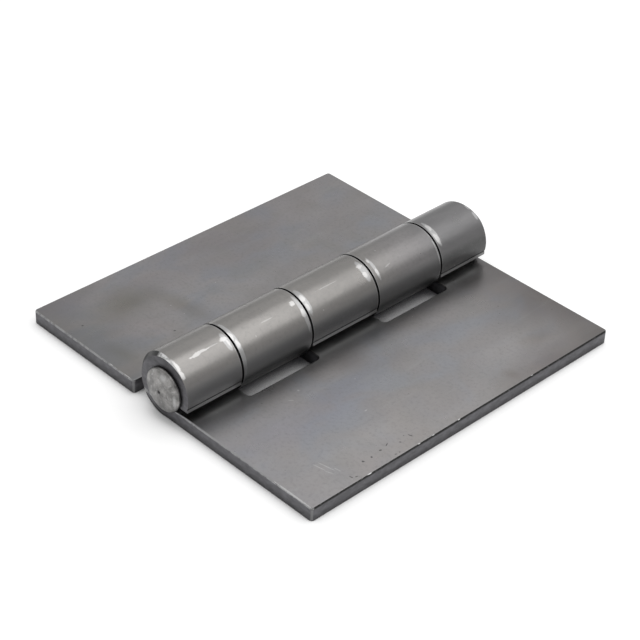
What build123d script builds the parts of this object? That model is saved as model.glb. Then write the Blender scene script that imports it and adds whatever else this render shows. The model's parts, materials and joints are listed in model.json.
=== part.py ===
from build123d import *
import math
import os

# Weld-on butt hinge, lying open and flat: two leaves of bent steel sheet rolled round one headed pin.
# The pin lies along Y and both leaf undersides lie on the XY plane. All sizes are in millimetres.

# Leaves
hinge_length = 100.0         # along the pin, over both leaves
leaf_width = 49.0            # pin axis to a leaf's outer edge
sheet_thickness = 3.7
leaf_corner_radius = 0.8
notch_clearance = 2.5        # barrel to the leaf edge that faces it
notch_corner_radius = 1.3
die_roll_radius = 0.35       # upper edge, rounded where the sheet was sheared
deburr_size = 0.15           # lower edge, broken with a file

# Knuckles
middle_knuckles = 3
end_knuckle_length = 16.35
knuckle_gap = 0.6
seam_gap = 1.8               # end of the roll to the leaf it comes down on
lip_height = 0.9             # flat edge of the sheet along the end of the roll
groove_width = 0.3           # crease above that edge
groove_depth = 0.3
chamfer_depth = 0.9          # on the barrel's two outer ends, deepest away from the end of the roll
chamfer_shift = 0.7          # axis of that chamfer, from the pin's axis towards the end of the roll and down

# Pin
pin_diameter = 9.5
pin_clearance = 0.05         # radial, pin in every knuckle
head_diameter = 11.4
head_height = 2.0
head_rim_height = 0.9
head_edge_radius = 0.5
seat_diameter = 10.4         # part of the head that bears on the end knuckle
seat_relief = 0.35           # gap left under the head's rim
head_shift_x = 0.6           # heads are formed a little off the pin's axis
head_shift_z = -0.3
dimple_diameter = 0.9
dimple_depth = 0.4

# Worked out from the sizes above
half_length = hinge_length / 2
bore_radius = pin_diameter / 2 + pin_clearance
barrel_radius = bore_radius + sheet_thickness
notch_depth = barrel_radius + notch_clearance
seam_height = sheet_thickness + seam_gap

# Smallest distance that tells two points apart
TINY = 1e-4


def knuckle_spans():
    """Start and end of each knuckle along the pin: equal ones between two shorter end ones."""
    gaps = middle_knuckles + 1
    middle_total = hinge_length - 2 * end_knuckle_length - gaps * knuckle_gap
    middle = middle_total / middle_knuckles
    lengths = [end_knuckle_length] + [middle] * middle_knuckles + [end_knuckle_length]
    spans = []
    start = -half_length
    for length in lengths:
        spans.append((start, start + length))
        start += length + knuckle_gap
    return spans


def roll_section():
    """Curled sheet, from under the pin, up the far side, over the top and down to its own leaf."""
    centre = (0, barrel_radius)
    lip_top = seam_height + lip_height
    lip_edge = math.sqrt(barrel_radius**2 - (barrel_radius - lip_top) ** 2)
    inner_edge = lip_edge - sheet_thickness
    groove_drop = barrel_radius - lip_top - groove_width
    outer_angle = -math.degrees(math.asin(groove_drop / barrel_radius))
    inner_angle = -math.degrees(math.acos(inner_edge / bore_radius))
    under_pin = 270
    outer = CenterArc(centre, barrel_radius, outer_angle, under_pin - outer_angle)
    inner = CenterArc(centre, bore_radius, inner_angle, under_pin - inner_angle)
    sheet_end = Polyline(
        outer @ 0,
        (lip_edge - groove_depth, lip_top),
        (lip_edge, lip_top),
        (lip_edge, seam_height),
        (inner_edge, seam_height),
        inner @ 0,
    )
    root = Line(inner @ 1, outer @ 1)
    return make_face([outer, sheet_end, inner, root])


def chamfer_envelope():
    """Body that trims the barrel's outer ends: its cones sit off the pin's axis, so the chamfer runs out."""
    off_axis = math.hypot(chamfer_shift, chamfer_shift)
    face_radius = barrel_radius - chamfer_depth + off_axis
    reach = barrel_radius + lip_height + off_axis
    slope = reach - face_radius
    outline = Polyline(
        (0, -half_length),
        (face_radius, -half_length),
        (reach, slope - half_length),
        (reach, half_length - slope),
        (face_radius, half_length),
        (0, half_length),
        close=True,
    )
    body = revolve(make_face(outline), axis=Axis.Y)
    return Pos(chamfer_shift, 0, barrel_radius - chamfer_shift) * body


def knuckle(span):
    """One rolled knuckle, chamfered where it ends the barrel."""
    start, end = span
    section_plane = Plane(origin=(0, end, 0), x_dir=(1, 0, 0), z_dir=(0, -1, 0))
    roll = extrude(section_plane * roll_section(), amount=end - start)
    return roll & chamfer_envelope()


def leaf_blank(spans):
    """Flat outline of a leaf: tongues run in to the pin, notches clear the other leaf's knuckles."""
    blank = Pos(leaf_width / 2, 0) * Rectangle(leaf_width, hinge_length)
    edges = [-half_length] + [edge for span in spans for edge in span] + [half_length]
    for low, high in zip(edges[::2], edges[1::2]):
        if high - low > TINY:
            blank -= Pos(notch_depth / 2, (low + high) / 2) * Rectangle(notch_depth, high - low)
    at_notch = blank.vertices().filter_by_position(Axis.X, notch_depth - TINY, notch_depth + TINY)
    inside = at_notch.filter_by_position(Axis.Y, -half_length + TINY, half_length - TINY)
    blank = fillet(inside, notch_corner_radius)
    ends = blank.vertices().filter_by_position(Axis.X, notch_depth - TINY, leaf_width + TINY)
    corners = [v for v in ends if abs(v.Y) > half_length - TINY]
    return fillet(corners, leaf_corner_radius)


def leaf(spans):
    """One leaf on the +X side: sheared plate with rounded edges, carrying its rolled knuckles."""
    plate = extrude(leaf_blank(spans), sheet_thickness)
    for height, soften, size in ((sheet_thickness, fillet, die_roll_radius), (0, chamfer, deburr_size)):
        level = plate.edges().filter_by_position(Axis.Z, height - TINY, height + TINY)
        plate = soften([e for e in level if e.center().X > TINY], size)
    for span in spans:
        plate += knuckle(span)
    return plate


def dome_height(radius):
    """Height of the pin head's domed face above its seat, at a distance from the pin's axis."""
    rise = head_height - head_rim_height
    sphere = ((head_diameter / 2) ** 2 + rise**2) / (2 * rise)
    return head_height - sphere + math.sqrt(sphere**2 - radius**2)


def pin():
    """Hinge pin: plain shank with a formed head on each end, dimpled at the centre by the forming tool."""
    seat = seat_diameter / 2
    head = head_diameter / 2
    dimple = dimple_diameter / 2
    half_way = (head + dimple) / 2
    dome = ThreePointArc(
        (head, half_length + head_rim_height),
        (half_way, half_length + dome_height(half_way)),
        (dimple, half_length + dome_height(dimple)),
    )
    sides = Polyline(
        (0, half_length),
        (seat, half_length),
        (head, half_length + seat_relief),
        dome @ 0,
    )
    centre = Polyline(dome @ 1, (0, half_length + dome_height(dimple) - dimple_depth), (0, half_length))
    profile = make_face([sides, dome, centre])
    rim = profile.vertices().sort_by_distance((head, half_length + head_rim_height))[0]
    cap = Pos(head_shift_x, 0, head_shift_z) * revolve(fillet(rim, head_edge_radius), axis=Axis.Y)
    shank = Rot(90, 0, 0) * Cylinder(pin_diameter / 2, hinge_length)
    return Pos(0, 0, barrel_radius) * (shank + cap + mirror(cap, about=Plane.XZ))


spans = knuckle_spans()
nodes = {
    "three_knuckle_leaf": leaf(spans[0::2]),
    "two_knuckle_leaf": mirror(leaf(spans[1::2]), about=Plane.YZ),
    "hinge_pin": pin(),
}

os.makedirs("parts", exist_ok=True)
for name, solid in nodes.items():
    export_step(solid, f"parts/{name}.step")
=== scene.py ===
import bpy
import json
import math
from mathutils import Matrix, Vector

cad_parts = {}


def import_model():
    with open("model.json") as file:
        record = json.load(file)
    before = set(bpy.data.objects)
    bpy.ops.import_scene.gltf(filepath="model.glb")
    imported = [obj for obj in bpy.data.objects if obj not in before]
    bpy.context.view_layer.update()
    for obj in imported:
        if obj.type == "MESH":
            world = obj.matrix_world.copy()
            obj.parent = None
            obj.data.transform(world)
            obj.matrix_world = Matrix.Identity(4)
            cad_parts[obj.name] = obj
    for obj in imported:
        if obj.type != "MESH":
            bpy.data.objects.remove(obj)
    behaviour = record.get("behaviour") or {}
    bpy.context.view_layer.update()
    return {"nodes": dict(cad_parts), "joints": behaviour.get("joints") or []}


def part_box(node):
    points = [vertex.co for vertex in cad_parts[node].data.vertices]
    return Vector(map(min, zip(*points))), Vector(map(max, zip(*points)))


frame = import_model()

# Places on the hinge, in millimetres, read from the frame
MM = 1000.0
PIN_HEIGHT = frame["joints"][0]["pos_m"][2] * MM
leaf_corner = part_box("three_knuckle_leaf")[1]
LEAF_EDGE = leaf_corner.x * MM
LEAF_END = leaf_corner.y * MM
pin_low, pin_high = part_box("hinge_pin")
HEAD_CENTRE = (pin_low + pin_high) * (MM / 2)
HEAD_RADIUS = (pin_high.x - pin_low.x) * (MM / 2)

# Sizes the frame doesn't hold, in millimetres
SHEET = 3.7
BARREL_RADIUS = 8.5
KNUCKLE_PITCH = 22.233
KNUCKLE_GAP = 0.6
LIP_TOP = 6.4
LIP_SIDE = 7.5               # out from here, below LIP_TOP, is the flat edge where a roll ends

# Marks seen in the photograph, in millimetres: centre x and y, half length, half width, turn in degrees
PITS = [
    (44.9, -30.5, 0.36, 0.30, 41), (45.1, -28.0, 0.30, 0.26, 49), (44.7, -24.8, 0.42, 0.22, 72),
    (44.2, -22.3, 0.60, 0.14, 115), (45.6, -19.4, 0.30, 0.18, 40), (45.4, -16.0, 0.65, 0.16, 19),
    (47.9, -23.2, 0.32, 0.16, 66), (48.0, -22.0, 0.26, 0.16, 75), (47.0, -36.2, 0.50, 0.16, 20),
    (47.6, -35.2, 0.42, 0.14, 80), (-36.1, -45.2, 0.34, 0.28, 41), (-20.0, -29.8, 0.30, 0.24, 44),
]
SCRATCHES = [
    (40.0, -39.2, 1.9, 0.15, 11), (40.7, -37.8, 2.6, 0.15, 11), (42.7, -38.7, 1.2, 0.12, 23),
    (43.1, -36.7, 0.9, 0.12, 10), (32.4, -17.1, 0.5, 0.16, 91), (16.8, -23.6, 0.35, 0.25, 30),
    (18.4, -27.5, 0.8, 0.10, 60),
]
# Bright burrs, partly painted highlights along the front edges
BURRS_AND_HIGHLIGHTS = [
    (48.8, -32.4, 0.8, 0.12, 90), (48.8, -16.6, 0.4, 0.08, 90), (48.8, -11.9, 0.4, 0.08, 90),
    (48.8, -3.4, 0.4, 0.08, 90), (48.8, 22.0, 0.4, 0.08, 90), (43.0, -49.8, 6.0, 0.18, 0),
    (-19.3, -49.8, 0.6, 0.10, 0), (-13.6, -49.8, 1.2, 0.08, 0),
]
SCUFFS = [(3.4, -42.3, 2.1, 0.38, 91), (3.7, -43.9, 1.7, 0.30, 88), (3.5, -40.6, 1.5, 0.18, 92)]
SMEARS = [
    (3.4, -38.4, 1.6, 0.16, 90), (3.9, -22.2, 1.9, 0.16, 90), (5.7, -27.0, 0.22, 0.18, 0),
    (3.2, -2.0, 3.4, 0.14, 90), (5.3, 16.7, 1.2, 0.12, 100),
]

# Broad soft tones, partly stains of the oil film and partly painted shade and painted light, such as
# the painted shade over the right leaf's far end and the left leaf's front: centre x and y, half length,
# half width, turn, then the shares of the leaf's own red, green and blue that are left there
RIGHT_TONES = [
    (30, 56, 80, 31, 0, (0.51, 0.49, 0.48)), (50, 28, 22, 12, 90, (0.78, 0.75, 0.74)),
    (46, -24, 46, 17, 90, (1.11, 1.10, 1.09)), (30, -62, 90, 50, 0, (1.03, 1.04, 1.06)),
    (25, -31, 30, 9, 90, (0.95, 0.96, 1.02)), (45, 18.5, 3.5, 2.4, 20, (0.90, 0.88, 0.86)),
    (40, 34, 9, 4, 70, (0.90, 0.88, 0.85)), (17, -7, 7, 5, 90, (0.86, 0.85, 0.84)),
    (22, 0, 36, 6, 90, (0.88, 0.88, 0.89)), (40, -28, 30, 6, 90, (1.05, 1.05, 1.04)),
    (49, 47, 15, 9, 0, (0.87, 0.86, 0.85)),
]
LEFT_TONES = [
    (-44, 4, 78, 26, 90, (0.90, 0.88, 0.885)), (-30, -62, 90, 43, 0, (0.62, 0.61, 0.58)),
    (-36, -31, 15, 8, 80, (0.70, 0.69, 0.63)), (-27, -21.5, 15, 5, 10, (0.82, 0.80, 0.76)),
    (-25, -35, 10, 7, 60, (1.14, 1.10, 1.10)), (-21, -45, 9, 4, 10, (0.88, 0.87, 0.82)),
    (-46, -43, 12, 7, 90, (0.99, 1.0, 1.05)),
]

# Ground bands and bright worn spots on the barrel: angle round it from the right in degrees, place along it,
# half width round it and half width along it in millimetres
BANDS = [
    (62, -34.6, 2.6, 0.8), (48, -32.5, 8.0, 0.65), (48, -12.0, 5.2, 0.6), (63, -10.0, 4.0, 0.85),
    (62, 9.7, 3.2, 0.9), (58, 12.9, 3.4, 0.45), (32, 32.8, 3.4, 0.25), (66, 34.7, 4.0, 0.75),
    (79, 49.3, 1.0, 0.35), (58, 49.3, 1.3, 0.4),
]
WORN = [
    (62, -49.5, 2.2, 0.6), (46, -49.4, 1.1, 0.5), (68, -34.9, 0.6, 1.0), (58, -34.4, 1.1, 0.3),
    (66, -32.9, 1.3, 0.6), (50, -32.4, 1.3, 0.5), (68, -13.3, 0.7, 0.8), (46, -12.2, 1.3, 0.6),
    (68, -10.1, 1.0, 0.8), (52, -10.2, 1.2, 0.5), (72, 9.4, 0.7, 0.8), (55, 9.4, 0.8, 0.7),
    (73, 12.6, 0.7, 0.4), (49, 12.9, 1.0, 0.45), (77, 34.8, 1.1, 0.6), (54, 34.6, 1.6, 0.6),
]

# Camera, fitted to the photograph: pixels of a 640 pixel frame, degrees and millimetres
FRAME_PIXELS = 640
FOCAL_PIXELS = 1880.9
AZIMUTH = 44.557
ELEVATION = 35.392
ROLL = 2.606
DISTANCE = 461.08
ASIDE = -0.19
ABOVE = 2.99
SENSOR = 36.0

# Table top, in metres
FLOOR_HALF = 3.0
FLOOR_DROP = 0.00002         # keeps it clear of the leaves' undersides
SHADE_REACH = 0.03           # how near the hinge has to be to darken it
TABLE_GLOW = 0.27            # strength, not a length


class Shader:
    """Short way to write a node material: most methods add a node or two and return an output."""

    def __init__(self, name):
        self.material = bpy.data.materials.new(name)
        self.material.use_nodes = True
        self.tree = self.material.node_tree
        self.surface = self.tree.nodes["Principled BSDF"]
        where = self.node("ShaderNodeTexCoord")
        self.place = self.vector("MULTIPLY", where.outputs["Object"], (MM, MM, MM))
        self.facing = where.outputs["Normal"]

    def node(self, kind, **settings):
        made = self.tree.nodes.new(kind)
        for key, value in settings.items():
            setattr(made, key, value)
        return made

    def feed(self, socket, value):
        """Links a node's output to a socket, or sets a plain value on it."""
        if isinstance(value, bpy.types.NodeSocket):
            self.tree.links.new(value, socket)
        else:
            socket.default_value = value

    def math(self, operation, *values):
        made = self.node("ShaderNodeMath", operation=operation)
        for socket, value in zip(made.inputs, values):
            self.feed(socket, value)
        return made.outputs[0]

    def vector(self, operation, *values):
        made = self.node("ShaderNodeVectorMath", operation=operation)
        for socket, value in zip(made.inputs, values):
            self.feed(socket, value)
        return made.outputs[0]

    def split(self, vector):
        made = self.node("ShaderNodeSeparateXYZ")
        self.feed(made.inputs[0], vector)
        return made.outputs[0], made.outputs[1], made.outputs[2]

    def step(self, value, low, high):
        """Smooth change from 0 at low to 1 at high, which may be the smaller of the two."""
        made = self.node("ShaderNodeMapRange", interpolation_type="SMOOTHSTEP", clamp=True)
        for socket, fed in zip(made.inputs, (value, low, high, 0.0, 1.0)):
            self.feed(socket, fed)
        return made.outputs[0]

    def spread(self, value, low, high):
        """A 0 to 1 value stretched to run from low to high."""
        made = self.node("ShaderNodeMapRange", clamp=True)
        for socket, fed in zip(made.inputs, (value, 0.0, 1.0, low, high)):
            self.feed(socket, fed)
        return made.outputs[0]

    def noise(self, size, detail=3.0, rough=0.5, stretch=(1, 1, 1), turn=0.0, shift=(0, 0, 0), warp=0.0):
        """Cloudy 0 to 1 pattern with features about size millimetres across."""
        mapped = self.node("ShaderNodeMapping")
        self.feed(mapped.inputs["Vector"], self.place)
        mapped.inputs["Location"].default_value = shift
        mapped.inputs["Rotation"].default_value = (0, 0, math.radians(turn))
        mapped.inputs["Scale"].default_value = [1.0 / (size * s) for s in stretch]
        made = self.node("ShaderNodeTexNoise")
        self.feed(made.inputs["Vector"], mapped.outputs[0])
        made.inputs["Scale"].default_value = 1.0
        made.inputs["Detail"].default_value = detail
        made.inputs["Roughness"].default_value = rough
        made.inputs["Distortion"].default_value = warp
        return made.outputs[0]

    def spots(self, spacing, radius, shift=(0, 0, 0)):
        """1 inside scattered round spots, both sizes in millimetres."""
        mapped = self.node("ShaderNodeMapping")
        self.feed(mapped.inputs["Vector"], self.place)
        mapped.inputs["Location"].default_value = shift
        mapped.inputs["Scale"].default_value = [1.0 / spacing] * 3
        cells = self.node("ShaderNodeTexVoronoi", feature="F1")
        self.feed(cells.inputs["Vector"], mapped.outputs[0])
        cells.inputs["Scale"].default_value = 1.0
        reach = radius / spacing
        return self.math("SUBTRACT", 1.0, self.step(cells.outputs["Distance"], reach * 0.5, reach))

    def mark(self, x, y, half_length, half_width, turn):
        """Distance from the centre of a streak or spot, seen from above, as a share of its own reach."""
        mapped = self.node("ShaderNodeMapping", vector_type="TEXTURE")
        self.feed(mapped.inputs["Vector"], self.place)
        mapped.inputs["Location"].default_value = (x, y, 0)
        mapped.inputs["Rotation"].default_value = (0, 0, math.radians(turn))
        mapped.inputs["Scale"].default_value = (half_length, half_width, MM)
        reach = self.node("ShaderNodeVectorMath", operation="LENGTH")
        self.feed(reach.inputs[0], mapped.outputs[0])
        return reach.outputs["Value"]

    def nearest(self, reaches):
        """Smallest of several distances."""
        least = reaches[0]
        for reach in reaches[1:]:
            least = self.math("MINIMUM", least, reach)
        return least

    def marks(self, places, rag):
        """1 inside any of several marks, their outlines broken up by a 0 to 1 pattern."""
        reach = self.nearest([self.mark(*place) for place in places])
        return self.step(self.math("ADD", reach, rag), 1.6, 1.2)

    def blob(self, u, v, centre, reach):
        """Distance from a centre in two directions, as a share of the reach in each."""
        aside = self.math("DIVIDE", self.math("SUBTRACT", u, centre[0]), reach[0])
        above = self.math("DIVIDE", self.math("SUBTRACT", v, centre[1]), reach[1])
        return self.math("SQRT", self.math("ADD", self.both(aside, aside), self.both(above, above)))

    def both(self, *shares):
        """Share that is high only where every one of the shares is."""
        total = shares[0]
        for share in shares[1:]:
            total = self.math("MULTIPLY", total, share)
        return total

    def mix(self, share, low, high, blend="MIX"):
        made = self.node("ShaderNodeMix", data_type="RGBA", blend_type=blend)
        for socket, value in ((made.inputs[0], share), (made.inputs[6], low), (made.inputs[7], high)):
            self.feed(socket, value)
        return made.outputs[2]

    def bump(self, height, distance, strength=1.0, under=None):
        made = self.node("ShaderNodeBump")
        made.inputs["Strength"].default_value = strength
        made.inputs["Distance"].default_value = distance / MM
        self.feed(made.inputs["Height"], height)
        if under is not None:
            self.feed(made.inputs["Normal"], under)
        return made.outputs[0]

    def metal(self, colour, rough, normal):
        """Makes the surface bare metal and returns the finished material."""
        for socket, value in (("Base Color", colour), ("Roughness", rough), ("Normal", normal)):
            self.feed(self.surface.inputs[socket], value)
        self.surface.inputs["Metallic"].default_value = 1.0
        return self.material


class LeafShader(Shader):
    """Shader for a leaf and its knuckles, with the places and masks that its layers share. The rolls end
    towards +X on side 1 and towards -X on side -1."""

    def __init__(self, name, side):
        super().__init__(name)
        self.x, self.y, self.z = self.split(self.place)
        self.nx, ny, self.nz = self.split(self.facing)
        self.along = self.math("ABSOLUTE", ny)
        self.aside = self.math("ABSOLUTE", self.x)
        self.far = self.math("ABSOLUTE", self.y)
        self.own_side = self.math("MULTIPLY", self.x, side)
        self.grit = self.noise(0.5, 2.0, 0.6)
        self.grain = self.noise(0.9, 4.0, 0.65)
        self.drawn = self.noise(1.3, 3.0, 0.55, stretch=(1.6, 1.6, 0.8))
        self.on_barrel = self.step(self.z, SHEET + 0.3, SHEET + 0.8)
        self.on_leaf = self.math("SUBTRACT", 1.0, self.on_barrel)
        self.sheared = self.both(self.step(self.math("ABSOLUTE", self.nz), 0.35, 0.2), self.on_leaf)
        self.end_face = self.step(self.along, 0.93, 0.98)
        self.cut = self.math("MAXIMUM", self.sheared, self.end_face)
        self.skin = self.both(self.on_barrel, self.step(self.along, 0.98, 0.93))

    def on_arc(self, places):
        """Distance to the nearest of several patches on the barrel, as a share of its own reach."""
        angle = self.math("ARCTAN2", self.math("SUBTRACT", self.z, PIN_HEIGHT), self.x)
        arc = self.math("MULTIPLY", angle, BARREL_RADIUS)
        reaches = []
        for degrees, along, half_round, half_along in places:
            centre = (math.radians(degrees) * BARREL_RADIUS, along)
            reaches.append(self.blob(arc, self.y, centre, (half_round, half_along)))
        return self.nearest(reaches)


def grey(level, warm=0.0):
    """Neutral colour of a linear level, warmer where warm is above 0 and bluer below."""
    return (level * (1 + warm), level, level * (1 - warm), 1.0)


def film(level):
    """Colour of the sheet under its oil film, a little pink."""
    return (level * 1.035, level, level * 1.01, 1.0)


def sheet_film(s, level, stain, tones, barrel_shade_reach):
    """Flat of a leaf: clouds of bluish and brownish oil film, wipe marks, stains, broad tones that are partly
    painted light and shade, and painted shade by the barrel.
    """
    bluish = (level * 0.96, level * 0.975, level * 1.04, 1.0)
    brownish = (level * 1.035, level * 0.985, level * 0.975, 1.0)
    stained = (level * 0.80, level * 0.795, level * 0.74, 1.0)
    clouds = s.noise(16, 2.0, 0.5, stretch=(1, 1.8, 1), turn=25, shift=(3, 1, 0), warp=0.4)
    tint = s.noise(11, 2.0, 0.5, stretch=(1, 1.4, 1), turn=-30, shift=(9, 4, 2), warp=0.5)
    wipes = s.noise(2.2, 2.0, 0.5, stretch=(1, 7, 1), turn=28, shift=(1, 6, 3))
    stains = s.noise(8, 2.0, 0.5, shift=(2, 8, 1), warp=0.6)
    sheet = s.mix(s.step(clouds, 0.3, 0.7), film(level * 0.93), film(level * 1.05))
    sheet = s.mix(s.step(tint, 0.45, 0.7), sheet, bluish)
    sheet = s.mix(s.step(tint, 0.5, 0.25), sheet, brownish)
    sheet = s.mix(s.both(s.step(wipes, 0.55, 0.8), 0.35), sheet, grey(level * 1.14))
    # Broad tones: oil film stains, and painted shade and painted light across the leaf
    for *place, share in tones:
        reach = s.math("ADD", s.mark(*place), s.math("MULTIPLY", clouds, 0.5))
        sheet = s.mix(s.step(reach, 1.25, 0.25), sheet, (*share, 1.0), "MULTIPLY")
    sheet = s.mix(s.both(s.step(stains, 0.42, 0.7), stain), sheet, stained)
    # Painted shade on the leaf beside the barrel
    barrel_shade = s.step(s.aside, barrel_shade_reach, BARREL_RADIUS + 0.5)
    return s.mix(s.both(barrel_shade, 0.35), sheet, grey(level * 0.35))


def roll_skin(s):
    """Outside of the rolls: faint lengthwise streaks, with painted light towards the near end and painted
    shade towards the far end, on the left and low down."""
    streak = s.noise(1.6, 3.0, 0.55, stretch=(1, 4, 1), shift=(5, 2, 7))
    barrel = s.mix(streak, grey(0.225, 0.035), grey(0.285, 0.04))
    # Painted light towards the near end, painted shade towards the far end and on the left, and a bluish tint
    for place, start, full, share in (
        (s.y, 16.0, -20.0, (1.07, 1.07, 1.07)),
        (s.y, 8.0, 26.0, (1.0, 1.0, 1.04)),
        (s.y, 24.0, 38.0, (0.83, 0.85, 0.86)),
        (s.x, -2.6, -4.2, (0.84, 0.84, 0.84)),
    ):
        barrel = s.mix(s.step(place, start, full), barrel, (*share, 1.0), "MULTIPLY")
    # Painted shade low down on the rolls, lighter towards the near end and deepest at the far end
    low_shade = s.mix(s.step(s.y, 0.0, -44.0), grey(0.145), grey(0.195))
    low_shade = s.mix(s.step(s.y, 30.0, 38.0), low_shade, grey(0.115))
    return s.mix(s.step(s.z, PIN_HEIGHT + 5.0, PIN_HEIGHT + 1.8), barrel, low_shade)


def low_roll(s, base):
    """Rolls below the pin: painted shade on the flanks, and a painted highlight on the flat edge where the
    roll ends.
    """
    below_pin = s.step(s.z, PIN_HEIGHT - 0.5, PIN_HEIGHT - 3.5)
    # Painted shade on the flanks of the rolls below the pin
    own_flank_shade = s.both(below_pin, s.on_barrel, s.step(s.own_side, 4.0, 6.0))
    base = s.mix(own_flank_shade, base, grey(0.06))
    far_flank_shade = s.both(below_pin, s.step(s.own_side, -3.0, -7.0))
    base = s.mix(far_flank_shade, base, grey(0.09))
    # Painted highlight on the flat edge where the roll ends
    lip_highlight = s.step(s.z, LIP_TOP + 0.1, LIP_TOP - 0.1)
    lip_highlight = s.both(lip_highlight, s.step(s.own_side, LIP_SIDE - 0.1, LIP_SIDE + 0.1), s.on_barrel)
    return s.mix(lip_highlight, base, grey(0.24))


def small_marks(s, base):
    """Painted light on the leaf under the rolls, dark pits, light scratches and specks, and smears on the
    barrel.
    """
    flat_top = s.both(s.step(s.nz, 0.8, 0.95), s.on_leaf)
    # Painted light on the flat leaf under its own rolls
    under_roll_light = s.both(flat_top, s.step(s.own_side, BARREL_RADIUS + 4.5, BARREL_RADIUS + 0.5))
    under_roll_light = s.both(under_roll_light, s.step(s.far, LEAF_END - 2.0, LEAF_END - 7.0))
    base = s.mix(s.both(under_roll_light, 0.8), base, grey(0.55))
    pitted = s.step(s.noise(8, 1.0, shift=(8, 3, 1)), 0.58, 0.66)
    fine_pits = s.both(s.spots(spacing=2.6, radius=0.24), pitted, 0.6)
    pits = s.math("MAXIMUM", s.marks(PITS, s.grit), fine_pits)
    base = s.mix(s.both(pits, flat_top, 0.85), base, grey(0.09))
    specked = s.step(s.noise(10, 1.0, shift=(2, 9, 4)), 0.54, 0.62)
    specks = s.both(s.spots(spacing=3.9, radius=0.2, shift=(3, 5, 1)), specked)
    scratches = s.math("MAXIMUM", s.marks(SCRATCHES, s.grit), specks)
    base = s.mix(s.both(scratches, 0.32), base, grey(0.75))
    return s.mix(s.both(s.marks(SMEARS, s.grit), s.on_barrel, 0.18), base, grey(0.8))


def cut_faces(s):
    """Sheared faces and knuckle ends: dark, drawn along the edge, darker at the foot and on a ring's upper
    half, with a painted black shadow line on the ring's far side and painted highlights on the leaf's
    corners."""
    face = s.mix(s.step(s.drawn, 0.25, 0.75), (0.105, 0.104, 0.109, 1.0), (0.16, 0.158, 0.169, 1.0))
    foot = s.both(s.step(s.z, SHEET * 0.6, SHEET * 0.1), s.sheared)
    face = s.mix(foot, face, (0.66, 0.66, 0.65, 1.0), "MULTIPLY")
    upper = s.both(s.step(s.z, PIN_HEIGHT + 2.0, PIN_HEIGHT + 6.0), s.end_face)
    face = s.mix(upper, face, grey(0.74), "MULTIPLY")
    out_from_pin = s.blob(s.x, s.z, (0.0, PIN_HEIGHT), (1.0, 1.0))
    # Painted black shadow line round the outer edge of the ring's far side
    outline_shadow = s.step(out_from_pin, BARREL_RADIUS - 0.5, BARREL_RADIUS - 0.2)
    outline_shadow = s.both(outline_shadow, s.end_face, s.step(s.own_side, 0.5, -1.5))
    face = s.mix(s.both(outline_shadow, 0.85), face, grey(0.02))
    # Painted highlight on the leaf's upright corners
    corner_highlight = s.both(s.step(s.math("ABSOLUTE", s.nx), 0.3, 0.5), s.step(s.along, 0.3, 0.5))
    corner_highlight = s.both(corner_highlight, s.step(s.far, LEAF_END - 1.0, LEAF_END - 0.7))
    return s.mix(s.both(corner_highlight, s.sheared, 0.55), face, grey(0.24))


def upper_edges(s, base):
    """Rounded upper edges: painted shade along the outer sides, a thin painted highlight along the ends,
    and bright burrs, partly painted highlights.
    """
    turning = s.step(s.nz, 0.99, 0.93)
    # Painted shade along the rounded outer side edges
    outer = s.step(s.aside, LEAF_EDGE - 1.0, LEAF_EDGE - 0.6)
    ragged = s.math("ADD", s.z, s.math("MULTIPLY", s.drawn, 0.6))
    edge_shade = s.both(s.step(ragged, SHEET - 0.4, SHEET), outer, s.on_leaf, turning)
    dark = s.mix(s.step(s.grain, 0.55, 0.75), grey(0.035), grey(0.14))
    base = s.mix(edge_shade, base, dark)
    # Thin painted highlight along the rounded ends
    rounded = s.both(turning, s.step(s.z, SHEET - 0.55, SHEET - 0.35), s.on_leaf)
    at_end = s.step(s.far, LEAF_END - 0.8, LEAF_END - 0.5)
    end_highlight = s.both(rounded, at_end, s.step(s.grain, 0.3, 0.6))
    base = s.mix(end_highlight, base, grey(0.34))
    # Bright burrs, partly painted highlights along the front edges
    burrs = s.both(s.marks(BURRS_AND_HIGHLIGHTS, s.grit), s.step(s.z, SHEET - 0.5, SHEET - 0.2), s.on_leaf)
    return s.mix(s.both(burrs, 0.6), base, grey(0.7))


def knuckle_ends(s, base):
    """Chamfer, dark on the left and ground bright elsewhere; ground bands, a pale rim and bright worn spots
    along each gap, the ground metal with painted light high up; and the scuff on the near knuckle."""
    chamfer = s.both(s.step(s.along, 0.3, 0.5), s.step(s.along, 0.95, 0.88), s.on_barrel)
    base = s.mix(chamfer, base, grey(0.07))
    bright = s.mix(s.step(s.grain, 0.35, 0.65), grey(0.42), grey(0.8))
    base = s.mix(s.both(chamfer, s.step(s.x, -2.6, -1.4)), base, bright)
    # Painted light: the ground metal lighter high up on the barrel
    high_up_light = s.step(s.z, PIN_HEIGHT + 1.0, PIN_HEIGHT + 5.5)
    ground = s.mix(high_up_light, grey(0.24), s.mix(s.grain, grey(0.38), grey(0.52)))
    rag = s.noise(0.8, 3.0, 0.6)
    slight_rag = s.math("MULTIPLY", rag, 0.4)
    bands = s.step(s.math("ADD", s.on_arc(BANDS), slight_rag), 1.3, 1.08)
    base = s.mix(s.both(bands, s.skin, 0.85), base, ground)
    gap = s.math("PINGPONG", s.math("SUBTRACT", s.far, KNUCKLE_PITCH / 2), KNUCKLE_PITCH / 2)
    edge = s.math("SUBTRACT", gap, KNUCKLE_GAP / 2)
    rim = s.step(s.math("ADD", edge, slight_rag), 0.5, 0.3)
    base = s.mix(s.both(rim, s.skin, 0.5), base, ground)
    worn = s.step(s.math("ADD", s.on_arc(WORN), s.math("MULTIPLY", rag, 1.4)), 1.85, 1.4)
    base = s.mix(s.both(worn, s.skin, 0.75), base, grey(0.64, 0.01))
    scuffs = s.both(s.marks(SCUFFS, s.grit), s.on_barrel)
    return s.mix(s.both(scuffs, 0.6), base, grey(0.62, 0.01))


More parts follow.
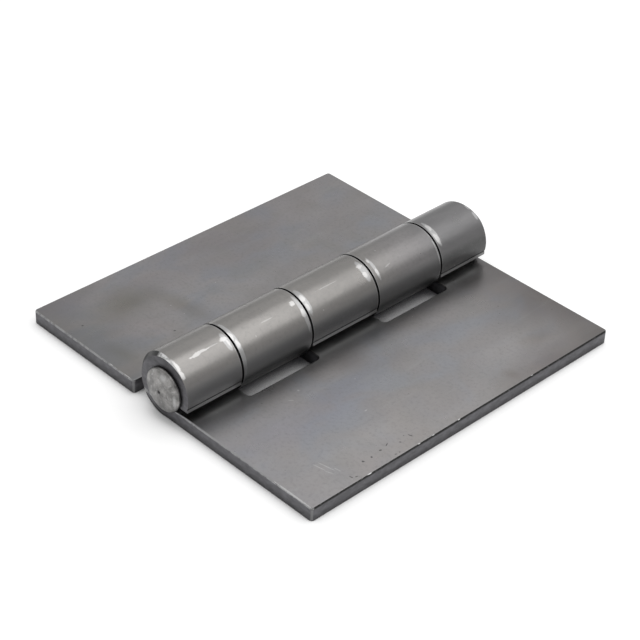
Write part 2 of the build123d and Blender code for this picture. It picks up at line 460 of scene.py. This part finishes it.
def leaf_steel(name, level, stain, tones, barrel_shade_reach, side):
    """Oiled mill-finish sheet with rolled knuckles, built up from the layers above, painted light and shade
    among them.
    """
    s = LeafShader(name, side)
    base = s.mix(s.on_barrel, sheet_film(s, level, stain, tones, barrel_shade_reach), roll_skin(s))
    base = low_roll(s, base)
    base = s.mix(s.both(s.step(s.grain, 0.45, 0.75), 0.3), base, grey(level * 0.6))
    base = small_marks(s, base)
    base = s.mix(s.cut, base, cut_faces(s))
    base = upper_edges(s, base)
    base = knuckle_ends(s, base)

    low_down = s.step(s.z, PIN_HEIGHT + 6.0, PIN_HEIGHT + 2.5)
    rough = s.spread(s.noise(6, 4.0, 0.6, shift=(1, 2, 3)), 0.22, 0.38)
    rough = s.math("ADD", rough, s.math("MULTIPLY", s.cut, 0.2))
    rough = s.math("ADD", rough, s.both(low_down, s.skin, 0.2))
    ripple = s.bump(s.noise(6, 2.0, 0.5), 0.03, 0.4)
    return s.metal(base, rough, s.bump(s.grain, 0.008, 0.5, ripple))


def pin_steel(name):
    """Formed pin head: bare blotchy steel with a painted highlight near the top and a patch rubbed bright
    at the right rim, painted shade on the rim on the left and below and in the dimple, and faint rings
    left by the forming."""
    s = Shader(name)
    x, _, z = s.split(s.place)
    radius = s.blob(x, z, (HEAD_CENTRE.x, HEAD_CENTRE.z), (1.0, 1.0))
    blotch = s.noise(2.4, 3.0, 0.6)
    base = s.mix(s.step(blotch, 0.3, 0.7), grey(0.14, 0.02), grey(0.30, 0.025))
    # Painted highlight near the top of the head, and a patch rubbed bright at the right rim
    gleam = s.blob(x, z, (HEAD_CENTRE.x + 0.8, HEAD_CENTRE.z + 4.1), (1.5, 0.9))
    nick = s.blob(x, z, (HEAD_CENTRE.x + 4.6, HEAD_CENTRE.z - 0.8), (0.5, 1.7))
    ragged = s.math("ADD", blotch, s.math("MULTIPLY", s.noise(0.7, 3.0, 0.6, shift=(6, 2, 4)), 0.8))
    rubbed = s.step(s.math("ADD", s.math("MINIMUM", gleam, nick), ragged), 2.2, 1.0)
    base = s.mix(s.both(rubbed, 0.55), base, grey(0.5))
    specks = s.step(s.noise(0.9, 2.0, 0.6, shift=(3, 3, 3)), 0.55, 0.7)
    base = s.mix(s.both(specks, 0.5), base, grey(0.42, 0.01))
    # Painted shade on the head's rim, on the left and below
    rim = s.step(radius, HEAD_RADIUS - 0.4, HEAD_RADIUS - 0.05)
    aside = s.step(x, HEAD_CENTRE.x - 0.5, HEAD_CENTRE.x - 2.5)
    below = s.step(z, HEAD_CENTRE.z - 2.5, HEAD_CENTRE.z - 4.0)
    base = s.mix(s.both(rim, s.math("MAXIMUM", aside, below), 0.85), base, grey(0.05))
    # Painted shade in the dimple
    dimple = s.step(radius, 0.55, 0.25)
    base = s.mix(dimple, base, grey(0.05))
    rings = s.math("SINE", s.math("MULTIPLY", radius, 11.0))
    dents = s.bump(s.math("ADD", s.math("MULTIPLY", rings, 0.15), blotch), 0.06, 0.5)
    return s.metal(base, s.spread(blotch, 0.28, 0.46), dents)


def dress(node, material):
    """Puts a finish on a node of the frame."""
    slots = frame["nodes"][node].data.materials
    slots.clear()
    slots.append(material)


def floor():
    """White table top the hinge lies on. It has a painted shadow in the slots close under the hinge, and in
    the open it has a glow that the camera and reflections see and that lights nothing."""
    mesh = bpy.data.meshes.new("floor")
    corners = [(-FLOOR_HALF, -FLOOR_HALF, 0), (FLOOR_HALF, -FLOOR_HALF, 0)]
    corners += [(FLOOR_HALF, FLOOR_HALF, 0), (-FLOOR_HALF, FLOOR_HALF, 0)]
    mesh.from_pydata(corners, [], [(0, 1, 2, 3)])
    table = bpy.data.objects.new("floor", mesh)
    table.location.z = -FLOOR_DROP
    bpy.context.scene.collection.objects.link(table)
    s = Shader("floor_white")
    rays = s.node("ShaderNodeLightPath").outputs
    seen = s.math("MAXIMUM", rays["Is Camera Ray"], rays["Is Glossy Ray"])
    seen = s.math("MAXIMUM", seen, rays["Is Transmission Ray"])
    occlusion = s.node("ShaderNodeAmbientOcclusion", samples=16)
    occlusion.inputs["Distance"].default_value = SHADE_REACH
    open_air = occlusion.outputs["AO"]
    # Painted shadow on the table in the slots close under the hinge
    slot_shadow = (0.100, 0.098, 0.108, 1.0)
    white = s.mix(s.step(open_air, 0.08, 0.42), slot_shadow, grey(0.88))
    lift = s.step(open_air, 0.43, 0.69)
    s.feed(s.surface.inputs["Base Color"], white)
    s.surface.inputs["Roughness"].default_value = 0.9
    s.surface.inputs["Specular IOR Level"].default_value = 0.1
    s.surface.inputs["Emission Color"].default_value = (1.0, 1.0, 1.0, 1.0)
    s.feed(s.surface.inputs["Emission Strength"], s.both(seen, lift, TABLE_GLOW))
    mesh.materials.append(s.material)


def world():
    """White tent, dimmer towards the table and to the right."""
    tent = bpy.data.worlds.new("tent")
    tent.use_nodes = True
    tree = tent.node_tree
    where = tree.nodes.new("ShaderNodeTexCoord")
    parts = tree.nodes.new("ShaderNodeSeparateXYZ")
    tree.links.new(where.outputs["Generated"], parts.inputs[0])
    level = tree.nodes.new("ShaderNodeMath")
    level.operation = "MULTIPLY"
    # Where each ramp starts and ends along its axis, then the share of full strength at both
    rise = ("Z", (0.0, 0.6, 0.5, 0.85))
    aside = ("X", (0.0, 0.7, 1.0, 0.75))
    for factor, (axis, values) in zip(level.inputs, (rise, aside)):
        ramp = tree.nodes.new("ShaderNodeMapRange")
        ramp.interpolation_type = "SMOOTHSTEP"
        tree.links.new(parts.outputs[axis], ramp.inputs[0])
        for socket, value in zip(ramp.inputs[1:], values):
            socket.default_value = value
        tree.links.new(ramp.outputs[0], factor)
    sky = tree.nodes["Background"]
    sky.inputs["Color"].default_value = (1.0, 1.0, 1.0, 1.0)
    tree.links.new(level.outputs[0], sky.inputs["Strength"])
    bpy.context.scene.world = tent


def softbox(name, place, turn, width, depth, radiance):
    """Lamp panel that hangs level over the table; radiance 1 is as bright as white."""
    lamp = bpy.data.lights.new(name, "AREA")
    lamp.shape = "RECTANGLE"
    lamp.size = width
    lamp.size_y = depth
    lamp.energy = radiance * math.pi * width * depth
    panel = bpy.data.objects.new(name, lamp)
    panel.location = place
    panel.rotation_euler = (0.0, 0.0, math.radians(turn))
    bpy.context.scene.collection.objects.link(panel)


def camera():
    """Camera where the photograph's stood."""
    a, e, r = (math.radians(v) for v in (AZIMUTH, ELEVATION, ROLL))
    back = Vector((math.sin(a) * math.cos(e), -math.cos(a) * math.cos(e), math.sin(e)))
    level = Vector((math.cos(a), math.sin(a), 0.0))
    upward = back.cross(level)
    right = math.cos(r) * level + math.sin(r) * upward
    up = math.cos(r) * upward - math.sin(r) * level
    data = bpy.data.cameras.new("camera")
    data.sensor_width = SENSOR
    data.lens = SENSOR * FOCAL_PIXELS / FRAME_PIXELS
    data.clip_start = 0.01
    view = bpy.data.objects.new("camera", data)
    place = (right * ASIDE + up * ABOVE + back * DISTANCE) / MM
    turn = Matrix((right, up, back)).transposed()
    view.matrix_world = Matrix.Translation(place) @ turn.to_4x4()
    bpy.context.scene.collection.objects.link(view)
    bpy.context.scene.camera = view


right_steel = leaf_steel("leaf_steel_right", level=0.33, stain=0.15, tones=RIGHT_TONES, barrel_shade_reach=21.0, side=1)
left_steel = leaf_steel("leaf_steel_left", level=0.28, stain=0.25, tones=LEFT_TONES, barrel_shade_reach=12.0, side=-1)
dress("three_knuckle_leaf", right_steel)
dress("two_knuckle_leaf", left_steel)
dress("hinge_pin", pin_steel("pin_steel"))
floor()
world()
softbox("overhead", place=(0.3687, 0.3038, 0.70), turn=18.0, width=1.0, depth=0.65, radiance=1.1)
camera()

bpy.context.scene.view_settings.view_transform = "Standard"
